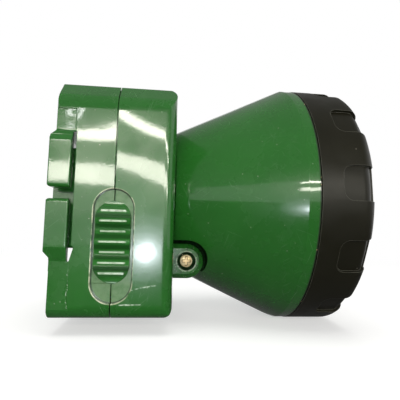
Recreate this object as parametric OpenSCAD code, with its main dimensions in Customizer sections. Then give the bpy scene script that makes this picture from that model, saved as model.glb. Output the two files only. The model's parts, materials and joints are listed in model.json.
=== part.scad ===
// Rechargeable cap lamp: a lamp head hinged to a box-shaped battery case.
// Lengths are in millimetres. +X is the way the beam points, +Z is up and the
// lamp is the same on both sides of the plane Y = 0, apart from its switch
// (on the -Y side) and its charging socket (on the +Y side).
// Pieces are drawn with X = 0 on the case's rear face and Z = 0 on its bottom;
// stand() then sets the whole lamp down with its lowest point on Z = 0.

/* [Battery case] */
// Width of the case, side to side
case_w = 68; // [66:0.5:80]
// Height of the case
case_h = 72.5; // [72:0.5:84]
// Depth of the rear half, from the rear face to the seam
rear_depth = 17.9; // [17:0.1:20]
// Depth of the front half, from the seam to the front face
front_depth = 18.1; // [17.5:0.1:22]
// Wall thickness of both halves
case_wall = 2; // [1.6:0.1:2.4]
// Width of the slanted facet along each long edge at the top, seen from the side
top_slant = 7; // [4:0.1:8]
// Radius of the blunt edge between that facet and the side
slant_low_r = 8; // [2:0.5:9]
// Radius of the blunt edge between that facet and the top
slant_high_r = 3; // [2:0.5:6]
// Radius of the two long edges at the bottom
bottom_edge_r = 4.4; // [3:0.1:6]
// Radius of the edges around the front face
front_edge_r = 3.5; // [2.5:0.1:4]
// Radius of the edges around the rear face
rear_edge_r = 0.6; // [0.3:0.1:1]
// Width of the groove between the two halves
seam_gap = 0.3; // [0.2:0.05:0.5]
// Length of the locating lip inside the seam
lip_l = 1.6; // [1:0.1:2.5]

/* [Strap hooks] */
// Height of the strap slot, which takes a strap of this width
slot_h = 38.5; // [36:0.5:42]
// Width of the slot between the hooks and the side wall
slot_w = 1.1; // [1:0.1:1.8]
// Height of the slot's lower end above the case bottom
slot_z = 16.7; // [15:0.1:18]
// Depth of the strap channel, from the rear face
channel_d = 6.1; // [5.5:0.1:7]
// Thickness of a hook bar, across the width of the case
hook_t = 3.2; // [2.8:0.1:3.6]
// How far the hooks and the pad stand out of the rear face
pad_proud = 1.4; // [0.8:0.1:2]
// How far the hooks stand out of the side walls
hook_proud = 1.5; // [1:0.1:2]
// Gap between the upper and the lower hook
hook_gap = 3.3; // [3:0.1:5]
// Height of the middle of that gap above the slot's lower end
hook_gap_z = 19.8; // [18:0.1:22]
// Length of the ramp at the root of the lower hook
hook_ramp = 4; // [3:0.1:5]
// Length of the ramp at the root of the upper hook
upper_ramp = 3; // [2.5:0.1:4]
// Free width between a hook bar and the pad
pocket_w = 4.4; // [4.2:0.1:5]
// Height of the clear grooves above and below the pad
pad_groove = 3.6; // [3:0.1:4.5]

/* [Switch] */
// Length of the switch knob
knob_l = 24.4; // [20:0.1:26]
// Width of the switch knob
knob_w = 10.3; // [9:0.1:11]
// Height of the knob's middle above the case bottom
knob_z = 22.6; // [20:0.1:26]
// How far the knob's crests stand out of the side wall
knob_proud = 1.2; // [0.8:0.1:2]
// Number of grip ribs on the knob
rib_count = 7; // [3:2:9]
// Spacing of the grip ribs
rib_pitch = 3.05; // [2.4:0.05:3.2]
// Travel of the knob, up and down from the middle
knob_travel = 3; // [2:0.1:3]
// Width of the recess around the knob
recess_w = 12; // [11.4:0.1:13]
// Length of the recess around the knob
recess_l = 33.7; // [33:0.1:35]
// Height of the recess's middle above the case bottom
recess_z = 21.5; // [21:0.1:22]
// Depth of the recess
recess_d = 1.3; // [1:0.1:1.6]

/* [Lamp head] */
// Height of the beam axis above the case bottom
beam_z = 38.6; // [37:0.1:42]
// Radius of the bezel ring, the widest part
bezel_r = 43.4; // [42:0.1:46]
// Length of the bezel ring
bezel_l = 17.7; // [16:0.1:19]
// Radius of the bezel's rounded front edge
bezel_edge_r = 4.4; // [3:0.1:4.6]
// Radius of the cone where it meets the case
cone_rear_r = 25.7; // [24:0.1:27]
// Length of the cone
cone_l = 38; // [36:0.5:42]
// Length of the straight rim in front of the cone
rim_l = 3.6; // [3:0.1:5]
// Wall thickness of the cone
cone_wall = 2.2; // [1.8:0.1:2.6]
// Number of grip recesses around the bezel
grip_count = 12; // [6:1:14]
// Width of a grip recess, around the bezel
grip_w = 10.7; // [8:0.1:15]
// Length of a grip recess, along the beam
grip_l = 11; // [7:0.1:12]
// Depth of a grip recess
grip_d = 1; // [0.6:0.1:1.2]
// Turn of the first grip recess below the -Y side, in degrees
grip_phase = -3.9; // [-15:0.1:15]
// Width of the bezel's front face, around the window
face_w = 6.6; // [6:0.1:8]

/* [Hinge] */
// Height of the hinge axis above the case bottom
pivot_z = 16.5; // [16:0.1:19]
// Distance of the hinge axis in front of the case
pivot_x = 4.8; // [4.6:0.1:6]
// Radius of the hinge ears
ear_r = 5.7; // [5.2:0.1:6]
// Distance from the middle plane to the outer face of an ear
ear_y = 21; // [20:0.1:22]
// Thickness of an ear
ear_t = 4.5; // [4:0.1:5]
// Furthest downward tilt of the head, in degrees
tilt_max = 50; // [30:1:55]
// Radius of the hinge screws' shanks
pin_r = 1.15; // [1:0.05:1.5]
// Running clearance of the hinge screws in the ears
pin_clear = 0.05; // [0.02:0.01:0.08]

/* [Optics] */
// Depth of the reflector's bowl
bowl_d = 31.4; // [29:0.1:32]
// Radius of the hole for the diode at the reflector's bottom
throat_r = 6.5; // [5.5:0.1:7]
// Thickness of the lens
lens_t = 2.5; // [2:0.1:3]
// Thickness of the gasket behind the lens
gasket_t = 1.2; // [0.8:0.1:1.5]
// Radius of the heat sink
sink_r = 16; // [14:0.5:18]
// Thickness of the heat sink
sink_t = 4; // [3:0.5:5]

/* [Battery and electrics] */
// Room between a cell and the circuit board beside it
cell_side_room = 1.1; // [1:0.1:2]
// Room above and below a cell, for its strip and lead
cell_end_room = 1.5; // [1.5:0.1:2]
// Gap between the two cells
cell_gap = 0.8; // [0.4:0.1:1.4]
// Room between a circuit board and the side wall, for the switch and the socket
board_room = 10.5; // [10:0.5:12]
// Thickness of the foam strips in front of the cells
foam_t = 1.5; // [1:0.1:1.6]
// Thickness of both circuit boards
board_t = 1.6; // [1:0.1:1.6]
// Radius of the charging socket's opening
socket_r = 2.8; // [2.6:0.05:3]
// Radius of an insulated lead
lead_r = 0.6; // [0.4:0.05:0.6]

/* [Hidden] */

// Small overlap that keeps a cut from ending on a surface
cut = 1;
blend = 0.006;          // how far a blunt round stands out of a true tangent one
// General clearances
fit_gap = 0.02;         // a screw's thread in its hole
slide_gap = 0.1;        // between pieces that slide on each other
part_gap = 0.3;         // between loose neighbours
$fn = 64;

// Case
case_d = rear_depth + front_depth;
half_w = case_w / 2;
inner_w = half_w - case_wall;
inner_x = case_d - case_wall;

// Strap hooks and pad
slot_top = slot_z + slot_h;
hook_x = channel_d - slot_w;
hook_in_y = half_w + hook_proud - hook_t;
pad_y = hook_in_y - pocket_w;
back_x = channel_d + case_wall;
side_flat_z = case_h - top_slant - slant_low_r * tan(22.5);
mould_step = 0.25;
mould_line_x = hook_x + 0.7;
hook_corner_r = 1.1;
hook_rear_r = 0.4;
hook_slot_r = 0.4;      // radius of a hook's outer edge beside the slot
root_dip = 0.5;         // how far the side wall dips in above the upper hook
root_dip_l = 1.8;
floor_slope = 0.4;      // how far the channel's floor slopes in at its lower end
notch_d = 0.6;          // how much deeper the channel is just above that slope
notch_at = 3.6;         // height of that notch above the slot's lower end
notch_l = 0.5;
wall_slope = 1.4;       // how far the channel's lower wall drops towards the rear
rib_t = 1.6;
rib_z = [case_h / 3, case_h * 2 / 3];
rib_end = 1;

// Switch
seam_x = rear_depth;
floor_y = half_w - recess_d;
floor_t = 1.5;
floor_in_y = floor_y - floor_t;
stem_w = 3;
stem_l = 5;
knob_under_y = floor_y + slide_gap;
knob_crest_y = half_w + knob_proud;
keeper_t = 1;
keeper_out_y = floor_in_y - slide_gap;
keeper_w = 9;
keeper_l = 19;
lever_w = 2;
switch_w = 7;
switch_l = 14;
switch_t = 5;
rib_h = 0.35;
rib_w = 0.9;
rib_l = 7.3;
wave_h = 0.6;

// Boards
board_y = inner_w - board_room;
board_in_y = board_y - board_t;
board_rear_x = back_x + 1;
board_front_x = inner_x - 3.1;
board_low_z = 8;
board_high_z = 48;
socket_low_z = 12;
socket_high_z = 38;
post_r = 2.4;
post_l = 6;
near_post_z = [board_low_z + 5, board_high_z - 5];
far_post_z = socket_high_z - 4.5;
near_post_x = board_front_x - 2.6;
far_post_x = [board_front_x - 10, near_post_x];
chip_at = [board_rear_x + 2, board_high_z - 10];
chip_size = [6, 1.5, 5];
coil_at = [board_rear_x + 12.4, board_high_z - 5.5];
coil_r = 3;
coil_h = 3;
coil_hole_r = 1.2;
coil_hole_d = 0.8;
can_x = board_rear_x + 3;
can_z = [board_high_z - 14, board_high_z - 19.5];
can_r = 2;
can_h = 5;

// Small screws in the boards and the heat sink
board_screw_r = 1;
board_head_r = 1.9;
sink_screw_r = 1.2;
sink_head_r = 1.8;
small_head_h = 1;
small_slot = 0.5;

// Socket and light
socket_x = board_front_x - 4.6;
socket_z = 18;
socket_block = 9;
collar_r = 3.9;
light_x = socket_x;
light_z = 27.5;
light_r = 1.5;
light_body = 3;         // height of the lamp's resin body above the board
light_leg = 0.5;
light_leg_at = 0.9;
socket_pin_r = 1;
socket_floor = 2;
socket_sunk = 0.4;
pin_sunk = 1.5;

// Cells
cell_r = (board_in_y - cell_side_room - cell_gap / 2) / 2;
cell_l = case_h - 2 * case_wall - 2 * cell_end_room;
cell_x = inner_x - foam_t - 0.05 - cell_r;
cell_y = cell_r + cell_gap / 2;
cell_z = case_wall + cell_end_room;
cell_edge = 0.3;
cell_groove_h = 0.5;
cell_cap_h = 1;
strip_t = 0.15;
strip_w = 8;
strip_reach = 6;
cell_button_r = 3.2;
foam_w = 8;
foam_end = 14;

// Screws of the case
boss_y = board_y + 3.5;
boss_in = 8.6;
boss_z = [boss_in, case_h - boss_in];
boss_r = 3.2;
case_screw_r = 1.3;
case_screw_end = 6;     // how far short of the front face the screws end
case_head_r = 2.5;
case_head_h = 1.8;
case_head_deep = 2.2;
case_slot = 0.8;

// Head
head_gap = 0.4;
head_x = case_d + head_gap;
crease_x = head_x + cone_l;
rim_x = crease_x + rim_l;
rim_r = bezel_r - 0.1;
cone_slope = (rim_r - cone_rear_r) / cone_l;
cone_off = cone_wall * sqrt(1 + cone_slope * cone_slope);
bezel_x = rim_x + part_gap;
front_x = bezel_x + bezel_l;
neck_r = bezel_r - 2.8;
neck_wall = 1.6;
thread_h = 0.15;
thread_r = neck_r + thread_h;
thread_pitch = 2;
thread_at = 2.5;
window_r = bezel_r - face_w;
reflector_r = neck_r - neck_wall - 1;
focal = pow(reflector_r, 2) / (4 * bowl_d);
bezel_in_r = neck_r + part_gap;
lip_t = 2.3;
lens_front_x = front_x - lip_t - 0.05;
lens_x = lens_front_x - lens_t;
gasket_x = lens_x - gasket_t;
flange_t = 1.4;
flange_x = gasket_x - flange_t;
neck_x = flange_x - 0.05;
lens_r = neck_r - 0.7;
flange_r = neck_r - part_gap;
rear_wall_in_x = head_x + case_wall;

// Hinge
hinge_x = case_d + pivot_x;
ear_in_y = ear_y - ear_t;
ear_edge = 1.5;
head_seat = 2.2;
seat_r = 2.95;
seat_y = ear_y - head_seat;
pivot_head_r = 2.05;
pivot_head_h = 1.4;
pivot_slot = 0.8;
pivot_screw_l = 10;
boss_l = 8;
washer_t = 0.45;
pocket_floor_y = ear_in_y - washer_t - 0.05;
pocket_gap = 1.2;
pocket_wall = 2;
relief_r = pivot_x - head_gap - 0.1;
pivot_boss_r = relief_r - slide_gap;

// Reflector and diode
reflector_vertex_x = gasket_x - bowl_d;
reflector_t = 1.4;
throat_wall = 1.2;
throat_x = reflector_vertex_x + pow(throat_r, 2) / (4 * focal);
led_ring_t = 1;
led_board_t = 1.6;
led_board_r = 10;
reflector_low_x = reflector_vertex_x + pow(throat_r + throat_wall, 2) / (4 * focal) - reflector_t;
led_board_x = reflector_low_x - led_ring_t;
sink_x = led_board_x - led_board_t - sink_t;
sink_post_r = 3;
sink_post_at = 12;
sink_hole_l = 8;
sink_screw_l = 6;
groove_at = 9;
groove_w = 1.2;
led_size = 5;
led_t = 1.1;
led_dome_r = 2.3;
ring_out_r = throat_r + 2.4;
ring_in_r = 3.75;
ring_up = 0.4;

// Lead into the head
lead_z = pivot_z + 4.5;
lead_step = lead_r + 0.05;
lead_hole_r = 1.6;
lead_low_z = board_low_z + 1.6;
lead_front_x = inner_x - lead_r - 0.2;
lead_turn_x = head_x + cone_l * 0.24;
lead_end_z = beam_z - sink_post_at + 5.7;
grommet_r = 3;
grommet_neck_r = 2.2;
flange_h = 0.8;
socket_lead_x = [board_rear_x + 1.6, board_rear_x + 3.2];
socket_lead_z = case_wall + lead_r + 0.05;

// ---------- helpers ----------

// Sets the lamp down: middle of its length on X = 0, lowest point on Z = 0
module stand() {
    translate([(pad_proud - front_x) / 2, 0, max(bezel_r - beam_z, 0)]) children();
}

// Turns a solid made along Z into one along the beam
module beam(x = 0) {
    translate([x, 0, beam_z]) rotate([0, 90, 0]) children();
}

// An outline drawn in (X, Z) given a thickness from y0 to y1
module slab_y(y0, y1) {
    translate([0, y1, 0]) rotate([90, 0, 0]) linear_extrude(y1 - y0) children();
}

// An outline drawn in (Y, Z) given a thickness from x0 to x1
module slab_x(x0, x1) {
    translate([x0, 0, 0]) rotate([90, 0, 90]) linear_extrude(x1 - x0) children();
}

// A cylinder along Y, from y0 to y1
module rod_y(x, z, r, y0, y1) {
    translate([x, y0, z]) rotate([-90, 0, 0]) cylinder(r = r, h = y1 - y0);
}

// A cylinder along X, from x0 to x1
module rod_x(y, z, r, x0, x1) {
    translate([x0, y, z]) rotate([0, 90, 0]) cylinder(r = r, h = x1 - x0);
}

// Draws its children on the near side and, mirrored, on the far side
module both_sides() {
    children();
    mirror([0, 1, 0]) children();
}

// What is cut off a square corner at the origin to round it
module corner_waste(r) {
    difference() {
        translate([-cut, -cut]) square(r + cut);
        translate([r, r]) circle(r);
    }
}

// What is cut off a blunt corner at p, whose sides leave it in the unit
// directions u and v, to round it: the round meets each side at a slight angle
module blunt_waste(p, u, v, r) {
    half = acos(u * v) / 2;
    middle = (u + v) / norm(u + v);
    centre = p + middle * r / sin(half);
    difference() {
        polygon([p + u * r / tan(half), p - middle * cut, p + v * r / tan(half), centre]);
        translate(centre - middle * blend) circle(r);
    }
}

// What is cut off the top left corner of an outline h high for a slanted
// facet with blunt edges
module slant_waste(h, slant, low_r, high_r) {
    along = [1, 1] / sqrt(2);
    polygon([[-cut, h - slant - cut], [slant + cut, h + cut], [-cut, h + cut]]);
    blunt_waste([0, h - slant], [0, -1], along, low_r);
    blunt_waste([slant, h], -along, [1, 0], high_r);
}

// A rectangle from (0, 0) with its own radius at each corner:
// low left, low right, high right, high left
module soft_rect(w, h, radii) {
    spots = [[0, 0, 0], [w, 0, 90], [w, h, 180], [0, h, 270]];
    difference() {
        square([w, h]);
        for (i = [0:3]) {
            if (radii[i] > 0)
                translate([spots[i][0], spots[i][1]]) rotate(spots[i][2]) corner_waste(radii[i]);
        }
    }
}

// An oblong with round ends, standing up, centred on (0, 0)
module oblong(w, l) {
    square([w, l - w], center = true);
    for (s = [-1, 1]) translate([0, s * (l - w) / 2]) circle(w / 2);
}

// A run of round lead through the given corners, with a ball at each bend
module lead(points, r = lead_r) {
    for (i = [0:len(points) - 2]) {
        step = points[i + 1] - points[i];
        run = norm(step);
        translate(points[i])
            rotate([0, acos(step[2] / run), atan2(step[1], step[0])])
                cylinder(r = r, h = run, $fn = 24);
        if (i > 0) translate(points[i]) sphere(r, $fn = 24);
    }
}

// ---------- battery case ----------

// The case as a solid block, all faces moved in by inset
module case_block(inset) {
    w = case_w - 2 * inset;
    h = case_h - 2 * inset;
    d = case_d - 2 * inset;
    low_r = max(bottom_edge_r - inset, 1);
    slant = top_slant - inset * (2 - sqrt(2));
    blunt_r = [slant_low_r - inset, max(slant_high_r - inset, 1)];
    front_r = max(front_edge_r - inset, 0.8);
    rear_r = max(rear_edge_r - inset, 0.3);
    intersection() {
        slab_x(inset, case_d - inset)
            translate([-w / 2, inset]) difference() {
                soft_rect(w, h, [low_r, low_r, 0, 0]);
                slant_waste(h, slant, blunt_r[0], blunt_r[1]);
                translate([w, 0]) mirror([1, 0]) slant_waste(h, slant, blunt_r[0], blunt_r[1]);
            }
        slab_y(-half_w, half_w)
            translate([inset, inset]) soft_rect(d, h, [rear_r, front_r, front_r, rear_r]);
        translate([inset, -w / 2])
            linear_extrude(case_h) soft_rect(d, w, [rear_r, front_r, front_r, rear_r]);
    }
}

// A ring-shaped prism of the case's cross-section, between two insets
module case_band(x0, x1, outer, inner) {
    difference() {
        intersection() {
            case_block(outer);
            translate([x0, -case_w, -cut]) cube([x1 - x0, 2 * case_w, case_h + 2 * cut]);
        }
        case_block(inner);
    }
}

// The strap channel across the rear, grown by g on its closed sides
module strap_channel(g) {
    slab_y(-half_w - 10, half_w + 10) polygon([
        [-10, slot_z - wall_slope - g], [0, slot_z - wall_slope - g],
        [channel_d + g - floor_slope, slot_z - g],
        [channel_d + g + notch_d, slot_z + notch_at - g],
        [channel_d + g + notch_d, slot_z + notch_at + notch_l],
        [channel_d + g, slot_z + notch_at + 2 * notch_l],
        [channel_d + g, slot_top + g], [-10, slot_top + g]
    ]);
}

// The forehead pad between the strap pockets, all faces moved in by inset
module rear_pad(inset) {
    pad_h = slot_h - 2 * pad_groove;
    slab_x(-pad_proud + inset, back_x + cut)
        translate([-pad_y + inset, slot_z + pad_groove + inset])
            soft_rect(2 * (pad_y - inset), pad_h - 2 * inset, [1, 1, 1, 1]);
}

// One pair of hooks on the near side, each hung from its end of the slot
module hook_pair() {
    low_l = hook_gap_z - hook_gap / 2;
    high_l = slot_h - hook_gap_z - hook_gap / 2;
    translate([0, 0, slot_z]) hook(low_l, -mould_step, 1, hook_ramp);
    translate([0, 0, slot_top]) mirror([0, 0, 1]) hook(high_l, -root_dip, -0.4, upper_ramp);
}

// A hook bar that rises to height l: its side ramp starts root_out from the
// case's side, and its rear ramp starts at height rear_z
module hook(l, root_out, rear_z, ramp) {
    root_z = -wall_slope - 1.5;
    end_z = l - hook_corner_r;
    out_y = half_w + hook_proud;
    side = [
        [hook_x, root_z], [0, root_z], [0, rear_z],
        [-pad_proud, rear_z + 1.2 * pad_proud], [-pad_proud, end_z], [hook_x, end_z]
    ];
    back = [
        [-hook_in_y, root_z], [-half_w - root_out, root_z], [-half_w - root_out, 0],
        [-out_y, ramp], [-out_y, end_z], [-hook_in_y, end_z]
    ];
    intersection() {
        slab_y(-out_y - cut, -hook_in_y) union() {
            polygon(side);
            translate([-pad_proud, l - 2 * hook_corner_r])
                soft_rect(hook_x + pad_proud, 2 * hook_corner_r, [0, 0, 0, hook_corner_r]);
        }
        slab_x(-pad_proud - cut, hook_x) union() {
            polygon(back);
            translate([-out_y, l - 2 * hook_corner_r])
                soft_rect(hook_t, 2 * hook_corner_r, [0, 0, 0, hook_corner_r]);
        }
        translate([-pad_proud, -out_y, root_z]) linear_extrude(l - root_z + cut)
            soft_rect(hook_x + pad_proud, hook_t, [hook_rear_r, hook_slot_r, 0, 0]);
    }
}

// The dip in the side wall above the upper hook, on the near side
module hook_dip() {
    low_z = slot_top - 0.1;
    slab_x(-cut, mould_line_x) polygon([
        [-half_w - cut, slot_top + root_dip_l], [-half_w, slot_top + root_dip_l],
        [-half_w + root_dip, low_z], [-half_w - cut, low_z]
    ]);
}

// The recess around the knob, cut from the outside down to y, widened by g
module knob_recess(y_in, y_out, g = 0) {
    slab_y(-y_out, -y_in) translate([seam_x, recess_z]) oblong(recess_w + 2 * g, recess_l + 2 * g);
}

// The slot in the recess's floor that the knob's stem runs in
module stem_slot() {
    w = stem_w + 2 * part_gap;
    l = stem_l + 2 * knob_travel + 2 * part_gap;
    translate([seam_x - w / 2, -half_w - cut, knob_z - l / 2]) cube([w, 6, l]);
}

// Both halves of the case in one: the outer walls, channel, pad, and recess
module case_walls() {
    difference() {
        union() {
            case_block(0);
            knob_recess(floor_in_y, half_w - cut, case_wall);
        }
        difference() {
            case_block(case_wall);
            strap_channel(case_wall);
            knob_recess(floor_in_y, half_w, case_wall);
        }
        strap_channel(0);
        knob_recess(floor_y, half_w + cut);
        stem_slot();
        both_sides() {
            // mould line beside the hooks: the side wall behind it lies a little lower
            translate([-cut, -half_w - cut, case_wall])
                cube([mould_line_x + cut, cut + mould_step, side_flat_z - case_wall]);
            hook_dip();
        }
    }
}

// Keeps the part of its children between two planes across the case
module between_x(x0, x1) {
    intersection() {
        children();
        translate([x0, -case_w, -20]) cube([x1 - x0, 2 * case_w, case_h + 40]);
    }
}

// Half-length and place of the stretch of seam that the knob's recess interrupts
module recess_keepout() {
    translate([seam_x - 8, -half_w - cut, recess_z - recess_l / 2 - 4])
        cube([16, 8, recess_l + 8]);
}

module case_rear() {
    color([0.14, 0.42, 0.17]) difference() {
        union() {
            between_x(-cut, seam_x - seam_gap / 2) case_walls();
            difference() {
                rear_pad(0);
                rear_pad(case_wall);
            }
            both_sides() hook_pair();
            // bosses for the case screws
            for (s = [-1, 1], z = boss_z)
                rod_x(s * boss_y, z, boss_r, case_wall / 2, seam_x - seam_gap / 2);
            // locating lip
            difference() {
                case_band(seam_x - 1, seam_x + lip_l, case_wall / 2, case_wall);
                recess_keepout();
            }
            // ribs that cradle the cells
            for (z = rib_z) difference() {
                translate([back_x - case_wall / 2, -cell_y - cell_r + rib_end, z])
                    cube([cell_x - back_x - case_wall, 2 * (cell_y + cell_r - rib_end), rib_t]);
                for (s = [-1, 1])
                    translate([cell_x, s * cell_y, z - cut])
                        cylinder(r = cell_r + slide_gap / 2, h = rib_t + 2 * cut);
            }
        }
        for (s = [-1, 1], z = boss_z) {
            rod_x(s * boss_y, z, case_screw_r + slide_gap, -cut, seam_x + cut);
            rod_x(s * boss_y, z, case_head_r + part_gap, -cut, case_head_deep);
        }
        // the floor of the recess steps down below the knob
        intersection() {
            knob_recess(floor_y - 0.3, floor_y + cut);
            translate([0, -half_w - cut, 0]) cube([seam_x, 10, recess_z - recess_l / 2 + 5.8]);
        }
    }
}

module case_front() {
    color([0.14, 0.42, 0.17]) difference() {
        union() {
            between_x(seam_x + seam_gap / 2, case_d + cut) case_walls();
            for (s = [-1, 1], z = boss_z)
                rod_x(s * boss_y, z, boss_r, seam_x + seam_gap / 2, case_d - case_wall / 2);
            both_sides() ear();
            for (z = near_post_z) rod_y(near_post_x, z, post_r, -inner_w - cut / 2, -board_y);
            for (x = far_post_x) rod_y(x, far_post_z, post_r, board_y, inner_w + cut / 2);
        }
        // room for the rear half's lip
        difference() {
            case_band(seam_x - cut, seam_x + lip_l + slide_gap, case_wall / 2 - slide_gap,
                case_wall + cut);
            recess_keepout();
        }
        for (s = [-1, 1], z = boss_z)
            rod_x(s * boss_y, z, case_screw_r + fit_gap, seam_x - cut, case_d - case_screw_end + 2);
        both_sides() {
            rod_y(hinge_x, pivot_z, pin_r + pin_clear, -ear_y - cut, -ear_in_y + cut);
            rod_y(hinge_x, pivot_z, seat_r, -ear_y - cut, -seat_y);
        }
        for (z = near_post_z)
            rod_y(near_post_x, z, board_screw_r + fit_gap, -board_y - post_l, -board_y + cut);
        for (x = far_post_x)
            rod_y(x, far_post_z, board_screw_r + fit_gap, board_y - cut, board_y + post_l);
        rod_y(socket_x, socket_z, collar_r + slide_gap, inner_w - cut, half_w + cut);
        rod_y(light_x, light_z, light_r + slide_gap, inner_w - cut, half_w + cut);
        rod_x(0, lead_z, lead_hole_r, inner_x - cut, case_d + cut);
    }
}

// One hinge ear on the near side, with its outer edge sloped off
module ear() {
    base_y = ear_y - ear_edge;
    face_r = ear_r - ear_edge;
    rod_y(hinge_x, pivot_z, ear_r, -base_y, -ear_in_y);
    translate([case_d - case_wall / 2, -base_y, pivot_z - ear_r])
        cube([pivot_x + case_wall / 2, base_y - ear_in_y, 2 * ear_r]);
    // sloped edge: a cone around the nose and a ridge back to the case
    translate([hinge_x, -base_y, pivot_z]) rotate([90, 0, 0])
        cylinder(r1 = ear_r, r2 = face_r, h = ear_edge);
    slab_x(case_d - case_wall / 2, hinge_x) polygon([
        [-base_y, pivot_z - ear_r], [-ear_y, pivot_z - face_r],
        [-ear_y, pivot_z + face_r], [-base_y, pivot_z + ear_r]
    ]);
}

// A screw along +X with its head at x = 0, driven from the rear
module screw_shape(r, l, head_r, head_h, slot) {
    difference() {
        union() {
            translate([0, 0, head_h]) cylinder(r = r, h = l);
            intersection() {
                cylinder(r = head_r, h = head_h);
                translate([0, 0, 1.9 * head_r]) sphere(1.9 * head_r);
            }
        }
        for (a = [0, 90])
            rotate(a) translate([-head_r * 0.6, -slot / 2, -cut])
                cube([head_r * 1.2, slot, cut + head_h * 0.55]);
    }
}

module case_screws() {
    color([0.72, 0.7, 0.66])
        for (s = [-1, 1], z = boss_z)
            translate([case_head_deep - case_head_h, s * boss_y, z]) rotate([0, 90, 0])
                screw_shape(case_screw_r, case_d - case_screw_end - case_head_deep,
                    case_head_r, case_head_h, case_slot);
}

// ---------- cells ----------

module cell(y) {
    top = cell_l - cell_groove_h;
    translate([cell_x, y, cell_z]) rotate_extrude() union() {
        translate([0, cell_edge]) square([cell_r, top - cell_edge - cell_cap_h]);
        square([cell_r - cell_edge, cell_cap_h]);
        square([cell_button_r, cell_l]);
        square([cell_r - cell_edge, top]);
    }
}

module cell_near() color([0.16, 0.32, 0.62]) cell(-cell_y);
module cell_far() color([0.16, 0.32, 0.62]) cell(cell_y);

module cell_strip(z) {
    translate([cell_x - strip_w / 2, -cell_y - strip_reach, z])
        cube([strip_w, 2 * (cell_y + strip_reach), strip_t]);
}

module cell_strip_top() color([0.78, 0.78, 0.74]) cell_strip(cell_z + cell_l);
module cell_strip_bottom() color([0.78, 0.78, 0.74]) cell_strip(cell_z - strip_t);

module cell_foam() {
    color([0.2, 0.2, 0.22])
        for (s = [-1, 1])
            translate([inner_x - foam_t, s * cell_y - foam_w / 2, foam_end])
                cube([foam_t, foam_w, case_h - 2 * foam_end]);
}

// ---------- boards and switch ----------

// A board that stands along the side wall, with its screw holes
module board(z0, z1, holes) {
    difference() {
        translate([board_rear_x, -board_y, z0])
            cube([board_front_x - board_rear_x, board_t, z1 - z0]);
        for (h = holes)
            rod_y(h[0], h[1], board_screw_r + slide_gap, -board_y - cut, -board_y + board_t + cut);
    }
}

module control_board()
    color([0.1, 0.35, 0.2])
        board(board_low_z, board_high_z, [for (z = near_post_z) [near_post_x, z]]);

module socket_board()
    color([0.1, 0.35, 0.2]) mirror([0, 1, 0])
        board(socket_low_z, socket_high_z, [for (x = far_post_x) [x, far_post_z]]);

module charger_chip() {
    color([0.12, 0.12, 0.13])
        translate([chip_at[0], -board_y - chip_size[1], chip_at[1]]) cube(chip_size);
}

module board_coil() {
    color([0.3, 0.3, 0.32]) difference() {
        rod_y(coil_at[0], coil_at[1], coil_r, -board_y - coil_h, -board_y);
        rod_y(coil_at[0], coil_at[1], coil_hole_r, -board_y - coil_h - cut,
            -board_y - coil_h + coil_hole_d);
    }
}

module board_capacitors() {
    color([0.15, 0.2, 0.4])
        for (z = can_z) rod_y(can_x, z, can_r, -board_y - can_h, -board_y);
}

module board_screws() {
    color([0.72, 0.7, 0.66]) {
        for (z = near_post_z) board_screw(near_post_x, z);
        mirror([0, 1, 0]) for (x = far_post_x) board_screw(x, far_post_z);
    }
}

// One screw through a board into its post, its head on the side of the cells
module board_screw(x, z) {
    translate([x, -board_in_y + small_head_h, z]) rotate([90, 0, 0])
        screw_shape(board_screw_r, board_t + post_l - 1, board_head_r, small_head_h, small_slot);
}

module switch_body() {
    color([0.72, 0.72, 0.7]) difference() {
        translate([seam_x - switch_w / 2, -board_y - switch_t, knob_z - switch_l / 2])
            cube([switch_w, switch_t, switch_l]);
        translate([
            seam_x - lever_w / 2 - slide_gap, -board_y - switch_t - cut,
            knob_z - lever_w / 2 - knob_travel - slide_gap
        ]) cube([lever_w + 2 * slide_gap, 3 + cut, lever_w + 2 * knob_travel + 2 * slide_gap]);
    }
}

module switch_lever() {
    reach = 4.3;
    color([0.1, 0.1, 0.1])
        translate([seam_x - lever_w / 2, -board_y - switch_t - reach + 2.8, knob_z - lever_w / 2])
            cube([lever_w, reach, lever_w]);
}

// Height of the knob's wavy face above its edge, at z from the middle
function wave(z) =
    knob_crest_y - knob_under_y - wave_h
    + wave_h * cos(360 * z / (2.4 * rib_pitch))
    - max(abs(z) - 0.32 * knob_l, 0) * 0.28;

module slide_knob() {
    step = knob_l / 48;
    face = [for (i = [-24:24]) [-knob_under_y - wave(i * step), i * step]];
    stem_in_y = keeper_out_y - keeper_t - 3;
    color([0.14, 0.42, 0.17]) difference() {
        union() {
            intersection() {
                slab_y(-knob_crest_y - rib_h, -knob_under_y)
                    translate([seam_x, knob_z]) oblong(knob_w, knob_l);
                slab_x(seam_x - knob_w, seam_x + knob_w) translate([0, knob_z])
                    polygon(concat(face, [[-knob_under_y, knob_l / 2], [-knob_under_y, -knob_l / 2]]));
            }
            for (i = [-(rib_count - 1) / 2:(rib_count - 1) / 2]) {
                z = i * rib_pitch;
                translate([
                    seam_x - rib_l / 2, -knob_under_y - wave(z) - rib_h,
                    knob_z + z - rib_w / 2
                ]) cube([rib_l, rib_h + 0.8, rib_w]);
            }
            translate([seam_x - stem_w / 2, -knob_under_y - 0.5, knob_z - stem_l / 2])
                cube([stem_w, knob_under_y + 0.5 - stem_in_y, stem_l]);
        }
        // fork that takes the switch's lever
        translate([
            seam_x - lever_w / 2 - slide_gap, -stem_in_y - 2.4, knob_z - lever_w / 2 - slide_gap
        ]) cube([lever_w + 2 * slide_gap, 3, lever_w + 2 * slide_gap]);
    }
}

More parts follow.
